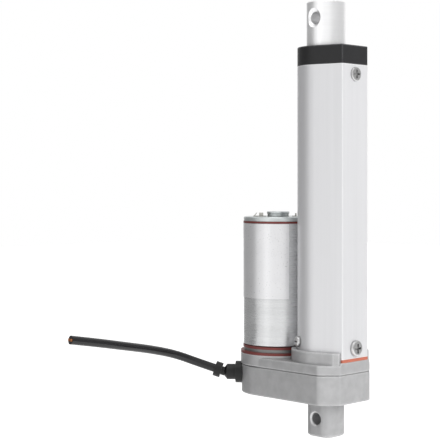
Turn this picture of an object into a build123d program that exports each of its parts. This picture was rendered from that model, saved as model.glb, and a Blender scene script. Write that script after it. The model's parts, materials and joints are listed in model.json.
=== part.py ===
from build123d import *
import os
from math import acos, atan2, cos, hypot, pi, radians, sin, sqrt, tan

# Electric linear actuator: a brushed motor drives a two-stage spur gearbox, which turns a
# trapezoidal lead screw. The nut on that screw pushes a hollow rod out of a tapered tube.
# The origin is the centre of the rear mounting hole. +Z runs along the rod to the front end,
# the motor stands on the -X side of the tube, and both mounting holes run along Y.

# Travel and the stack of heights along the rod
stroke = 100.0
housing_base_z = 9.4
housing_depth = 15.0
floor_thickness = 2.5
cover_depth = 5.0
ceiling_thickness = 2.0
tube_seat_height = 1.2
tube_gasket_thickness = 1.5
gasket_proud = 0.1
tube_beyond_stroke = 48.5
cap_height = 9.7
front_hole_above_cap = 14.7
rod_end_above_hole = 9.0

parting_z = housing_base_z + housing_depth
floor_z = housing_base_z + floor_thickness
flange_top_z = parting_z + cover_depth
ceiling_z = flange_top_z - ceiling_thickness
seat_z = flange_top_z + tube_seat_height
tube_bottom_z = seat_z + tube_gasket_thickness
tube_length = stroke + tube_beyond_stroke
tube_top_z = tube_bottom_z + tube_length
cap_top_z = tube_top_z + cap_height
front_hole_z = cap_top_z + front_hole_above_cap
rod_end_z = front_hole_z + rod_end_above_hole

# Clearances
close_fit = 0.02
running_fit = 0.05
loose_fit = 0.1
seat_gap = 0.15
end_gap = 0.3
tube_bore_gap = 0.35

# Piston rod, and the guide bush and wiper round it
rod_r = 10.0
rod_wall = 3.0
rod_bush_wall = 1.5
wiper_wall = 2.4
cap_spigot_wall = 1.15
rod_solid_below_hole = 16.0
front_hole_r = 3.2
countersink_r = 5.0
rod_end_chamfer = 0.8
nut_pin_r = 1.25

rod_bore_r = rod_r - rod_wall
bush_outer_r = rod_r + rod_bush_wall
wiper_r = rod_r + wiper_wall

# Outer tube: round on the motor side, tapering to a flat face on the +X side
tube_wall = 2.0
tube_round_r = bush_outer_r + cap_spigot_wall + loose_fit + tube_wall
tube_chamber = 4.5
tube_face_x = tube_round_r + tube_chamber
tube_face_half = 10.0
tube_corner_r = 0.4

# Motor body
motor_r = 18.5
motor_wall = 1.2
motor_tube_gap = 0.2

# Gearbox plan: flat +X end with corners cut at 45 degrees, round motor end
gearbox_margin = 1.0
face_margin = 1.7
housing_half_width = motor_r + gearbox_margin
housing_face_half = tube_face_half + face_margin
housing_wall = 2.5
face_corner_r = 1.2
shoulder_corner_r = 3.5
casting_edge_r = 0.6
seam_chamfer = 0.35
motor_seat_lip = 1.4
motor_seat_r = motor_r + motor_seat_lip
collar_motor_gap = 1.9
collar_thickness = 3.1
collar_height = 4.9
collar_end_inset = 0.85
collar_edge_inset = 0.4
collar_rim_chamfer = 0.35
pedestal_lip = 1.2

# Rear mounting post
post_side = 16.5
post_corner_r = 5.5
post_below_hole = 9.1
post_edge_chamfer = 0.8
rear_hole_r = 3.0
rear_hole_chamfer = 0.7

# Gears: the two stages fill the distance between the rod axis and the motor beside the tube
module_ratio = 1.6
pressure_angle = 25.0
tooth_backlash = 0.12
motor_pinion_teeth = 13
idler_wheel_teeth = 44
idler_pinion_teeth = 12
output_teeth = 36
output_gear_width = 5.0
idler_wheel_width = 4.0
idler_axle_r = 2.0
idler_hub_r = 3.4
axle_socket = 1.7
cover_axle_socket = 1.2

motor_x = -(tube_round_r + motor_r + motor_tube_gap)
first_stage_teeth = motor_pinion_teeth + idler_wheel_teeth
second_stage_teeth = idler_pinion_teeth + output_teeth
first_module = -2 * motor_x / (first_stage_teeth + module_ratio * second_stage_teeth)
second_module = module_ratio * first_module
idler_x = -second_module * second_stage_teeth / 2

# Ball bearings of the lead screw
bearing_bore_r = 4.0
bearing_outer_r = 8.0
bearing_width = 5.0
ball_r = 1.15
ball_track_r = (bearing_bore_r + bearing_outer_r) / 2
ball_count = 9
race_land = 1.0
cage_half = 0.3
cage_reach = 1.6
bearing_boss_wall = 2.0

# Lead screw and nut
thread_lead = 3.0
thread_major_r = 5.0
thread_minor_r = 3.25
thread_crest = 0.9
thread_root = 1.9
thread_clearance = 0.15
spigot_height = 12.0
nut_above_spigot = 1.4
nut_hub_r = 9.0
nut_hub_height = 4.6
nut_flange_height = 4.0
nut_neck_height = 11.4
nut_tab_half = 2.2
thread_root_sunk = 0.2

# Motor
motor_seal_thickness = 1.3
top_seal_thickness = 1.0
adapter_thickness = 1.7
motor_can_height = 64.5
motor_rim_thickness = 2.3
motor_boss_r = 6.05
motor_boss_height = 2.7
shaft_r = 1.6
magnet_thickness = 4.65
armature_gap = 0.6
can_edge_r = 0.6
seal_ledge = 2.0
lower_seal_ledge = 1.5
seal_proud = 0.15
label_below_top = 39.4
label_thickness = 0.15
label_edge_gap = 0.2
label_start = -29.5
label_sweep = 240.0

adapter_bottom_z = seat_z + motor_seal_thickness
adapter_top_z = adapter_bottom_z + adapter_thickness
can_bottom_z = adapter_top_z + motor_seal_thickness
can_top_z = can_bottom_z + motor_can_height
end_cap_z = can_top_z + top_seal_thickness
end_cap_top_z = end_cap_z + motor_rim_thickness
motor_top_z = end_cap_top_z + motor_boss_height
can_inner_r = motor_r - motor_wall
seal_inner_r = motor_r - seal_ledge
lower_seal_inner_r = motor_r - lower_seal_ledge
can_floor_z = can_bottom_z + motor_wall
magnet_outer_r = can_inner_r - running_fit
magnet_inner_r = magnet_outer_r - magnet_thickness
armature_r = magnet_inner_r - armature_gap
label_bottom_z = can_top_z - label_below_top

# Fasteners: shank radius, head radius, head height, length under the head
face_screw = (2.0, 4.0, 1.9, 7.5)
cap_screw_size = (2.0, 3.6, 1.2, 6.0)
side_screw = (1.5, 2.8, 1.7, 5.2)
case_screw = (1.25, 2.2, 1.8, 14.6)
motor_screw = (1.5, 2.6, 2.2, 8.2)
face_screw_z = 37.2
side_screw_z = 39.4
cap_screw_below_top = 5.0
side_screw_angles = (-120, 120)

# Cable and its strain relief
cord_r = 2.25
gland_azimuth = 220.0
gland_tilt = 18.0
gland_z = 19.4
gland_seat_depth = 0.8
gland_insert_r = 4.0
gland_flange_r = 5.8
gland_flange_length = 4.0
gland_body_r = 4.15
gland_body_length = 4.6
gland_taper_length = 1.5
gland_neck_r = 2.3
gland_ring_r = 4.0
gland_ring_start = 1.8
gland_ring_end = 5.5
gland_joint_overlap = 0.4

gland_seat = housing_half_width - gland_seat_depth
gland_flange_end = gland_seat + gland_flange_length
gland_body_end = gland_flange_end + gland_body_length
gland_bend = gland_body_end + gland_taper_length


def tangent_angle():
    """Angle from +X to where the tube's flat side meets its round side."""
    return atan2(tube_face_half, tube_face_x) + acos(tube_round_r / hypot(tube_face_x, tube_face_half))


def tube_outline(grow, height):
    """The tube's tapered outline, moved outward by grow (inward when negative), at a height."""
    slope = tangent_angle()
    radius = tube_round_r + grow
    face_x = tube_face_x + grow
    face_half = (radius - cos(slope) * face_x) / sin(slope)
    tangent_x = radius * cos(slope)
    tangent_y = radius * sin(slope)
    with BuildSketch(Plane.XY.offset(height)) as outline:
        with BuildLine():
            Polyline(
                (tangent_x, -tangent_y),
                (face_x, -face_half),
                (face_x, face_half),
                (tangent_x, tangent_y),
            )
            ThreePointArc((tangent_x, tangent_y), (-radius, 0), (tangent_x, -tangent_y))
        make_face()
        fillet(outline.vertices().group_by(Axis.X)[-1], tube_corner_r)
    return outline.sketch


def gearbox_outline(grow, height):
    """The gearbox's plan, moved outward by grow (inward when negative), at a height."""
    half_width = housing_half_width + grow
    face_x = tube_face_x + grow
    cut_sum = tube_face_x + housing_face_half + grow * sqrt(2)
    face_half = cut_sum - face_x
    shoulder_x = cut_sum - half_width
    with BuildSketch(Plane.XY.offset(height)) as outline:
        with BuildLine():
            Polyline(
                (motor_x, -half_width),
                (shoulder_x, -half_width),
                (face_x, -face_half),
                (face_x, face_half),
                (shoulder_x, half_width),
                (motor_x, half_width),
            )
            ThreePointArc((motor_x, half_width), (motor_x - half_width, 0), (motor_x, -half_width))
        make_face()
        fillet(outline.vertices().group_by(Axis.X)[-1], face_corner_r)
        shoulders = outline.vertices().filter_by(lambda corner: abs(corner.X - shoulder_x) < close_fit)
        fillet(shoulders, shoulder_corner_r)
    return outline.sketch


def turned(profile, axis_x=0.0):
    """A turned piece: a closed half profile of (radius, height) points spun about a vertical axis."""
    with BuildPart() as piece:
        with BuildSketch(Plane.XZ):
            with BuildLine():
                Polyline(*[(axis_x + radius, height) for radius, height in profile], close=True)
            make_face()
        revolve(axis=Axis((axis_x, 0, 0), (0, 0, 1)))
    return piece.part


def ring(outer_r, inner_r, bottom, top, axis_x=0.0):
    """A plain sleeve, washer or disc with a hole."""
    return turned([(inner_r, bottom), (outer_r, bottom), (outer_r, top), (inner_r, top)], axis_x)


# Shares of a screw's head and shank: cross recess, domed edge and tapered tip
recess_width_share = 0.28
recess_reach_share = 0.62
recess_depth_share = 0.6
head_dome_share = 0.55
tip_share = 0.4


def screw(size):
    """A cross-recessed pan-head screw: shank down, underside of the head at the origin."""
    shank_r, head_r, head_height, length = size
    recess_width = head_r * recess_width_share
    recess_reach = head_r * recess_reach_share
    tip = shank_r * tip_share
    with BuildPart() as piece:
        with BuildSketch(Plane.XZ):
            with BuildLine():
                Polyline(
                    (0, head_height),
                    (0, -length),
                    (shank_r - tip, -length),
                    (shank_r, tip - length),
                    (shank_r, 0),
                    (head_r, 0),
                    (head_r, head_height),
                    close=True,
                )
            make_face()
        revolve(axis=Axis.Z)
        fillet(piece.edges().sort_by(Axis.Z)[-1], head_height * head_dome_share)
        with BuildSketch(Plane.XY.offset(head_height)):
            Rectangle(2 * recess_reach, recess_width)
            Rectangle(recess_width, 2 * recess_reach)
        extrude(amount=-head_height * recess_depth_share, mode=Mode.SUBTRACT)
    return piece.part


def involute(angle):
    """The involute function of an angle in radians."""
    return tan(angle) - angle


dedendum = 1.25


def gear(teeth, module, bottom, width, axis_x=0.0, first_tooth=0.0):
    """A spur gear blank with involute teeth; first_tooth is the direction of one tooth, in degrees."""
    pitch_r = teeth * module / 2
    tip_r = pitch_r + module
    root_r = pitch_r - dedendum * module
    base_r = pitch_r * cos(radians(pressure_angle))
    flank_start_r = max(base_r, root_r)
    half_at_base = (pi * module / 2 - tooth_backlash) / (2 * pitch_r) + involute(radians(pressure_angle))

    def flank(radius, side):
        half = half_at_base - involute(acos(min(1.0, base_r / radius)))
        return (radius * cos(half), side * radius * sin(half))

    inside_r = root_r - module / 2
    with BuildSketch(mode=Mode.PRIVATE) as tooth:
        with BuildLine():
            ThreePointArc(flank(flank_start_r, -1), flank(pitch_r, -1), flank(tip_r, -1))
            Line(flank(tip_r, -1), flank(tip_r, 1))
            ThreePointArc(flank(tip_r, 1), flank(pitch_r, 1), flank(flank_start_r, 1))
            Polyline(
                flank(flank_start_r, 1),
                (inside_r * cos(half_at_base), inside_r * sin(half_at_base)),
                (inside_r * cos(half_at_base), -inside_r * sin(half_at_base)),
                flank(flank_start_r, -1),
            )
        make_face()
    with BuildPart() as wheel:
        with BuildSketch(Plane.XY.offset(bottom)):
            with Locations((axis_x, 0)):
                Circle(root_r)
                with PolarLocations(0, teeth, start_angle=first_tooth):
                    add(tooth.sketch)
        extrude(amount=width)
    return wheel.part


def thread(start_z, turns, grow=0.0):
    """The raised helix of the trapezoidal thread, thickened by grow on its crest and flanks."""
    root_r = thread_minor_r - thread_root_sunk
    crest_r = thread_major_r + grow
    half_root = thread_root / 2 + grow
    half_crest = thread_crest / 2 + grow
    with BuildPart() as helix:
        with BuildLine() as path:
            Helix(thread_lead, turns * thread_lead, thread_minor_r, center=(0, 0, start_z))
        with BuildSketch(Plane.XZ):
            with BuildLine():
                Polyline(
                    (root_r, start_z - half_root),
                    (crest_r, start_z - half_crest),
                    (crest_r, start_z + half_crest),
                    (root_r, start_z + half_root),
                    close=True,
                )
            make_face()
        sweep(path=path.line, is_frenet=True)
    return helix.part


def outward(angle, radius, height):
    """A plane whose normal points away from the rod axis, at an angle in degrees."""
    direction = (cos(radians(angle)), sin(radians(angle)), 0)
    spot = (radius * direction[0], radius * direction[1], height)
    return Plane(origin=spot, x_dir=(0, 0, 1), z_dir=direction)


# Spots of the fasteners in plan: two behind the cut corners, two beside the idler, two round the motor
corner_screw_inset = 5.65
corner_screw_beyond_face = 1.0
side_screw_x = -13.5
side_screw_inset = 4.5
round_screw_inset = 3.5
round_screw_angles = (130.0, -73.5)
motor_screw_inset = 7.5
corner_screw_x = tube_face_x - corner_screw_inset
corner_screw_y = housing_face_half + corner_screw_beyond_face
side_screw_y = housing_half_width - side_screw_inset
round_screw_r = housing_half_width - round_screw_inset
motor_screw_y = motor_r - motor_screw_inset
case_screw_spots = [
    (corner_screw_x, corner_screw_y),
    (corner_screw_x, -corner_screw_y),
    (side_screw_x, side_screw_y),
    (side_screw_x, -side_screw_y),
]
for angle in round_screw_angles:
    turn = radians(angle)
    case_screw_spots.append((motor_x + round_screw_r * cos(turn), round_screw_r * sin(turn)))
case_column_r = 2.9
counterbore_depth = 2.2
motor_screw_spots = [(motor_x, motor_screw_y), (motor_x, -motor_screw_y)]

# The gland's axis runs through the motor axis, at the gland's height
gland_dir = Vector(cos(radians(gland_azimuth)), sin(radians(gland_azimuth)), 0)
gland_plane = Plane(origin=(motor_x, 0, gland_z), x_dir=(0, 0, 1), z_dir=gland_dir)
gland_insert_reach = 1.5
gland_inner = housing_half_width - housing_wall - gland_insert_reach
lead_corner_inset = 4.0
lead_corner = gland_inner - lead_corner_inset
lead_spacing = 1.1
lead_r = 0.65
lead_bend_r = 2.0
lead_hole = (motor_x + lead_corner * gland_dir.X, lead_corner * gland_dir.Y)
lead_hole_r = 2.2

# Heights of what sits on the lead screw, from the bottom up
shaft_pocket_depth = 2.8
shaft_pocket_z = floor_z - shaft_pocket_depth
race_support = 1.8
race_relief_r = bearing_outer_r - race_support
journal_reach = 2.1
journal_bottom_z = floor_z - journal_reach
clip_thickness = 0.8
lower_clip_z = floor_z - clip_thickness - running_fit
lower_bearing_top_z = floor_z + bearing_width
output_gear_z = lower_bearing_top_z + end_gap
output_hub_z = output_gear_z + output_gear_width
output_hub_height = 4.2
output_hub_top_z = output_hub_z + output_hub_height
output_hub_r = 6.5
gear_pin_z = output_hub_z + output_hub_height / 2
gear_pin_r = 1.0
sleeve_r = 5.2
wheel_above_gear = 0.7
idler_wheel_z = output_hub_z + wheel_above_gear
washer_thickness = 0.4
washer_width = 1.6
spigot_top_z = seat_z + spigot_height
circlip_thickness = 1.0
circlip_inset = 0.5
circlip_groove_depth = 0.5
circlip_width = 1.1
upper_bearing_top_z = spigot_top_z - circlip_inset - circlip_thickness
upper_bearing_z = upper_bearing_top_z - bearing_width
thread_above_spigot = 0.4
thread_start_z = spigot_top_z + thread_above_spigot
nut_bottom_z = spigot_top_z + nut_above_spigot
nut_flange_z = nut_bottom_z + nut_hub_height
rod_bottom_z = nut_flange_z + nut_flange_height
nut_top_z = rod_bottom_z + nut_neck_height
nut_flange_r = tube_round_r - tube_wall - tube_bore_gap
nut_pin_z = rod_bottom_z + nut_neck_height / 2
end_bush_z = nut_top_z + stroke + end_gap
end_bush_height = 3.4
end_bush_gap = 0.3
thread_end_z = end_bush_z - end_gap
thread_length = thread_end_z - thread_start_z - thread_root
upper_clip_z = end_bush_z + end_bush_height + running_fit
screw_past_clip = 0.6
screw_end_z = upper_clip_z + clip_thickness + screw_past_clip
clip_groove_depth = 0.4
lower_clip_width = 1.2
upper_clip_width = 1.6
rod_bore_top_z = front_hole_z - rod_solid_below_hole

# Front cap and what it holds
cap_spigot_length = 12.6
cap_spigot_bottom_z = tube_top_z - cap_spigot_length
cap_edge_chamfer = 0.3
bush_in_cap = 4.4
bush_inset = 0.5
bush_top_z = tube_top_z + bush_in_cap
wiper_height = 3.4
wiper_lip = 0.5
wiper_recess = 1.0
wiper_dish = 0.6
cap_screw_z = tube_top_z - cap_screw_below_top

# Limit switches in the chamber behind the tube's flat face
board_thickness = 1.0
board_x = tube_face_x - tube_wall - tube_bore_gap - board_thickness
board_half_width = 8.2
switch_flange_gap = 0.6
switch_x = nut_flange_r + switch_flange_gap
switch_half_width = 3.2
switch_height = 4.2
button_inset = 1.3
button_x = switch_x + button_inset
button_r = 0.7
button_edge_r = 0.3
button_stroke = 0.4
button_proud = 0.9
button_depth = 2.4
lower_switch_z = nut_flange_z - end_gap - button_proud - switch_height
upper_switch_z = nut_flange_z + nut_flange_height + stroke + end_gap + button_proud
board_margin = 1.0
board_bottom_z = spigot_top_z + end_gap
board_top_z = upper_switch_z + switch_height + board_margin
nut_tab_past_button = 1.0
nut_tab_x = button_x + nut_tab_past_button

# Solder lugs on the motor's end cap, measured across it from the motor axis
lug_angle = 45.0
lug_sheet = 0.4
lug_boss_gap = 0.35
lug_base_start = motor_boss_r + lug_boss_gap
lug_base_length = 7.0
lug_base_end = lug_base_start + lug_base_length
lug_lean = 1.8
lug_height = 2.0
lug_width = 2.4
lug_post_inset = 2.7
lug_post_x = lug_base_start + lug_post_inset
lug_post_width = 2.2
far_lug_inset = 1.0
far_lug_length = 2.4
far_lug_start = lug_base_start + far_lug_inset
far_lug_end = far_lug_start + far_lug_length
far_lug_height = 1.7
lug_plane = Plane(
    origin=(motor_x, 0, end_cap_top_z),
    x_dir=(cos(radians(lug_angle)), sin(radians(lug_angle)), 0),
    z_dir=(sin(radians(lug_angle)), -cos(radians(lug_angle)), 0),
)

# Motor innards
shaft_above_gear_foot = 3.0
shaft_bottom_z = output_gear_z + shaft_above_gear_foot
pinion_inset = 0.4
pinion_past_wheel = 0.2
motor_pinion_z = shaft_bottom_z + pinion_inset
boss_roof = 1.6
rear_bush_top_z = motor_top_z - boss_roof
front_boss_length = 3.2
front_bush_z = can_bottom_z - front_boss_length
front_boss_r = 5.0
motor_bush_r = 3.5
rear_bush_r = 4.0
brush_card_z = can_floor_z + end_gap
brush_card_thickness = 1.6
commutator_above_card = 1.0
commutator_z = brush_card_z + brush_card_thickness + commutator_above_card
commutator_height = 5.0
commutator_r = 5.0
commutator_sleeve_r = 3.6
commutator_sleeve_past = 0.5
commutator_bars_count = 5
commutator_slit = 0.5
brush_z = commutator_z + commutator_height / 2
brush_size = 3.0
brush_length = 6.0
brush_contact_depth = 0.4
brush_holder_wall = 1.0
brush_holder_inset = 1.8
brush_holder_end = can_inner_r - brush_holder_inset
brush_holder_gap = 1.5
brush_spring_r = 1.0
brush_wire_r = 0.15
brush_spring_turns = 5
core_above_commutator = 4.0
core_z = commutator_z + commutator_height + core_above_commutator
core_height = 37.0
slot_count = 5
slot_track_share = 0.633
slot_track_r = armature_r * slot_track_share
slot_r = 3.1
slot_mouth = 2.0
coil_overhang = 3.0

# The free cable's route, chosen by hand: it leaves the strain relief, rises and swings forward
cord_points = [
    (-59.5, -21.9, 21.1),
    (-66.8, -28.0, 24.2),
    (-72.9, -38.7, 29.0),
    (-73.7, -55.8, 33.1),
    (-71.9, -76.6, 37.0),
    (-71.6, -93.4, 40.2),
    (-73.8, -108.4, 42.7),
]
cord_bend_share = 0.45
core_r = 0.75
core_depth = 2.0
core_proud = 0.4


def cut_holes(radius, bottom, top, spots):
    """Cuts upright holes of one radius into the piece being built."""
    with BuildSketch(Plane.XY.offset(bottom)) as holes:
        with Locations(*spots):
            Circle(radius)
    extrude(holes.sketch, amount=top - bottom, mode=Mode.SUBTRACT)


def raise_posts(radius, bottom, top, spots):
    """Adds upright round posts of one radius to the piece being built."""
    with BuildSketch(Plane.XY.offset(bottom)) as posts:
        with Locations(*spots):
            Circle(radius)
    extrude(posts.sketch, amount=top - bottom)


def cut_sideways(radius, angle, height, inner, outer):
    """Cuts a hole that points away from the rod axis, between two distances from that axis."""
    with BuildSketch(outward(angle, inner, height)) as hole:
        Circle(radius)
    extrude(hole.sketch, amount=outer - inner, mode=Mode.SUBTRACT)


def cut_gland_seat():
    """Cuts the flat that the gland's flange sits on."""
    with BuildSketch(gland_plane.offset(gland_seat)) as seat:
        Circle(gland_flange_r + loose_fit)
    extrude(seat.sketch, amount=gland_flange_r, mode=Mode.SUBTRACT)


# Rear housing: the cast lower shell of the gearbox, with the mounting post under the lead screw
with BuildPart() as rear_housing:
    extrude(gearbox_outline(0, housing_base_z), amount=housing_depth)
    fillet(rear_housing.edges().group_by(Axis.Z)[0], casting_edge_r)
    chamfer(rear_housing.edges().group_by(Axis.Z)[-1], seam_chamfer)
    extrude(gearbox_outline(-housing_wall, floor_z), amount=housing_depth, mode=Mode.SUBTRACT)
    with BuildSketch(Plane.XY.offset(-post_below_hole)):
        RectangleRounded(post_side, post_side, post_corner_r)
    extrude(amount=housing_base_z + post_below_hole + floor_thickness / 2)
    chamfer(rear_housing.edges().group_by(Axis.Z)[0], post_edge_chamfer)
    with BuildSketch(Plane.XZ):
        Circle(rear_hole_r)
    extrude(amount=post_side, both=True, mode=Mode.SUBTRACT)
    hole_rims = rear_housing.edges().filter_by(GeomType.CIRCLE)
    flat_rims = hole_rims.filter_by(lambda rim: abs(abs(rim.center().Y) - post_side / 2) < close_fit)
    chamfer(flat_rims, rear_hole_chamfer)
    raise_posts(case_column_r, floor_z, parting_z, case_screw_spots)
    raise_posts(bearing_outer_r + bearing_boss_wall, floor_z, lower_bearing_top_z - end_gap, [(0, 0)])
    cut_holes(bearing_outer_r + close_fit, floor_z, lower_bearing_top_z, [(0, 0)])
    cut_holes(race_relief_r, shaft_pocket_z, floor_z, [(0, 0)])
    cut_holes(idler_axle_r + close_fit, floor_z - axle_socket, floor_z, [(idler_x, 0)])
    cut_holes(case_screw[0] + running_fit, housing_base_z, parting_z, case_screw_spots)
    cut_holes(case_screw[1] + loose_fit, housing_base_z, housing_base_z + counterbore_depth, case_screw_spots)
    cut_gland_seat()
    with BuildSketch(gland_plane.offset(gland_inner)):
        Circle(gland_insert_r + close_fit)
    extrude(amount=gland_flange_r, mode=Mode.SUBTRACT)

# Gearbox cover: closes the housing, seats the motor and the tube, and plugs the tube's foot
with BuildPart() as gearbox_cover:
    extrude(gearbox_outline(0, parting_z), amount=cover_depth)
    fillet(gearbox_cover.edges().group_by(Axis.Z)[-1], casting_edge_r)
    chamfer(gearbox_cover.edges().group_by(Axis.Z)[0], seam_chamfer)
    raise_posts(motor_seat_r, parting_z + seam_chamfer, seat_z, [(motor_x, 0)])
    with BuildSketch(Plane.XY.offset(flange_top_z - tube_seat_height)):
        add(tube_outline(pedestal_lip, 0))
        with Locations((tube_face_x, 0)):
            Rectangle(4 * tube_face_x, 4 * tube_face_x, align=(Align.MAX, Align.CENTER), mode=Mode.INTERSECT)
    extrude(amount=2 * tube_seat_height)
    with BuildSketch(Plane.XY.offset(flange_top_z)):
        add(tube_outline(collar_thickness, 0))
        add(tube_outline(seat_gap, 0), mode=Mode.SUBTRACT)
        add(gearbox_outline(-collar_edge_inset, 0), mode=Mode.INTERSECT)
        with Locations((tube_face_x - collar_end_inset, 0)):
            Rectangle(4 * tube_face_x, 4 * tube_face_x, align=(Align.MAX, Align.CENTER), mode=Mode.INTERSECT)
        with Locations((motor_x, 0)):
            Circle(motor_r + collar_motor_gap, mode=Mode.SUBTRACT)
    extrude(amount=tube_seat_height + collar_height)
    chamfer(gearbox_cover.edges().group_by(Axis.Z)[-1], collar_rim_chamfer)
    extrude(tube_outline(-tube_wall - loose_fit, seat_z), amount=spigot_height)
    extrude(gearbox_outline(-housing_wall, parting_z), amount=ceiling_z - parting_z, mode=Mode.SUBTRACT)
    raise_posts(case_column_r, parting_z, ceiling_z, case_screw_spots)
    cut_holes(case_screw[0] + close_fit, parting_z, ceiling_z, case_screw_spots)
    cut_holes(sleeve_r + end_gap, ceiling_z, upper_bearing_z, [(0, 0)])
    cut_holes(bearing_outer_r + close_fit, upper_bearing_z, spigot_top_z, [(0, 0)])
    circlip_top_z = upper_bearing_top_z + circlip_thickness
    cut_holes(bearing_outer_r + circlip_groove_depth, upper_bearing_top_z, circlip_top_z, [(0, 0)])
    cut_holes(idler_axle_r + close_fit, ceiling_z, ceiling_z + cover_axle_socket, [(idler_x, 0)])
    cut_holes(front_boss_r + end_gap, ceiling_z, seat_z, [(motor_x, 0)])
    cut_holes(motor_screw[0] + running_fit, ceiling_z, seat_z, motor_screw_spots)
    cut_holes(lead_hole_r, ceiling_z, seat_z, [lead_hole])
    face_screw_bottom_x = tube_face_x - face_screw[3] - end_gap
    cut_sideways(face_screw[0] + close_fit, 0, face_screw_z, face_screw_bottom_x, tube_face_x)
    side_screw_tip = tube_round_r - side_screw[3] - end_gap
    for angle in side_screw_angles:
        cut_sideways(side_screw[0] + close_fit, angle, side_screw_z, side_screw_tip, 2 * tube_round_r)
    cut_gland_seat()

with BuildPart() as case_screws:
    counterbore_z = housing_base_z + counterbore_depth
    with Locations(*[Location((x, y, counterbore_z), (180, 0, 0)) for x, y in case_screw_spots]):
        add(screw(case_screw))

# Outer tube, its gasket and its fixings
with BuildPart() as tube_gasket:
    extrude(tube_outline(gasket_proud, seat_z), amount=tube_gasket_thickness)
    extrude(tube_outline(-tube_wall, seat_z), amount=tube_gasket_thickness, mode=Mode.SUBTRACT)

with BuildPart() as outer_tube:
    extrude(tube_outline(0, tube_bottom_z), amount=tube_length)
    extrude(tube_outline(-tube_wall, tube_bottom_z), amount=tube_length, mode=Mode.SUBTRACT)
    cut_sideways(face_screw[0] + running_fit, 0, face_screw_z, 0, 2 * tube_face_x)
    cut_sideways(cap_screw_size[0] + running_fit, 0, cap_screw_z, 0, 2 * tube_face_x)
    for angle in side_screw_angles:
        cut_sideways(side_screw[0] + running_fit, angle, side_screw_z, 0, 2 * tube_round_r)

with BuildPart() as tube_face_screw:
    with Locations(outward(0, tube_face_x, face_screw_z)):
        add(screw(face_screw))

with BuildPart() as tube_side_screws:
    with Locations(*[outward(angle, tube_round_r, side_screw_z) for angle in side_screw_angles]):
        add(screw(side_screw))

with BuildPart() as cap_screw:
    with Locations(outward(0, tube_face_x, cap_screw_z)):
        add(screw(cap_screw_size))

# Front cap, with the guide bush and the wiper that the rod slides through
with BuildPart() as front_cap:
    extrude(tube_outline(0, tube_top_z), amount=cap_height)
    chamfer(front_cap.edges().group_by(Axis.Z)[-1], cap_edge_chamfer)
    cap_spigot_height = tube_top_z - cap_spigot_bottom_z
    extrude(tube_outline(-tube_wall - loose_fit, cap_spigot_bottom_z), amount=cap_spigot_height)
    cut_holes(bush_outer_r + close_fit, cap_spigot_bottom_z, bush_top_z, [(0, 0)])
    cut_holes(rod_r + end_gap, bush_top_z, cap_top_z, [(0, 0)])
    cut_holes(wiper_r + close_fit, cap_top_z - wiper_height, cap_top_z, [(0, 0)])
    cap_screw_tip = tube_face_x - cap_screw_size[3] - end_gap
    cut_sideways(cap_screw_size[0] + close_fit, 0, cap_screw_z, cap_screw_tip, tube_face_x)

rod_bush = ring(bush_outer_r, rod_r + running_fit, cap_spigot_bottom_z + bush_inset, bush_top_z)
rod_wiper = turned(
    [
        (rod_r + wiper_recess, cap_top_z - wiper_height),
        (wiper_r, cap_top_z - wiper_height),
        (wiper_r, cap_top_z - cap_edge_chamfer),
        (rod_r + wiper_lip, cap_top_z),
        (rod_r + running_fit, cap_top_z - wiper_dish),
    ]
)

# Piston rod: hollow from its lower end, solid at the front around the mounting hole
with BuildPart() as piston_rod:
    add(
        turned(
            [
                (rod_bore_r, rod_bottom_z),
                (rod_r, rod_bottom_z),
                (rod_r, rod_end_z - rod_end_chamfer),
                (rod_r - rod_end_chamfer, rod_end_z),
                (0, rod_end_z),
                (0, rod_bore_top_z),
                (rod_bore_r, rod_bore_top_z),
            ]
        )
    )
    for side in (-90, 90):
        with Locations(outward(side, rod_r, front_hole_z)):
            CounterSinkHole(front_hole_r, countersink_r, depth=rod_r + 1, counter_sink_angle=90)
        cut_sideways(nut_pin_r + close_fit, side, nut_pin_z, 0, rod_r + 1)

# Drive nut: threaded, keyed to the switch chamber by its tab, pinned into the rod
with BuildPart() as drive_nut:
    add(
        turned(
            [
                (thread_minor_r + thread_clearance, nut_bottom_z),
                (nut_hub_r, nut_bottom_z),
                (nut_hub_r, nut_flange_z),
                (nut_flange_r, nut_flange_z),
                (nut_flange_r, rod_bottom_z),
                (rod_bore_r - close_fit, rod_bottom_z),
                (rod_bore_r - close_fit, nut_top_z),
                (thread_minor_r + thread_clearance, nut_top_z),
            ]
        )
    )
    with BuildSketch(Plane.XY.offset(nut_flange_z)):
        with Locations((nut_hub_r, 0)):
            Rectangle(nut_tab_x - nut_hub_r, 2 * nut_tab_half, align=(Align.MIN, Align.CENTER))
    extrude(amount=nut_flange_height)
    nut_turns = (nut_top_z - nut_bottom_z) / thread_lead + 4
    add(thread(thread_start_z - 2 * thread_lead, nut_turns, thread_clearance), mode=Mode.SUBTRACT)
    for side in (-90, 90):
        cut_sideways(nut_pin_r + close_fit, side, nut_pin_z, thread_major_r, rod_r)

with BuildPart() as nut_pins:
    for side in (-90, 90):
        with BuildSketch(outward(side, thread_major_r + end_gap, nut_pin_z)):
            Circle(nut_pin_r)
        extrude(amount=rod_r - thread_major_r - end_gap - loose_fit)

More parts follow.
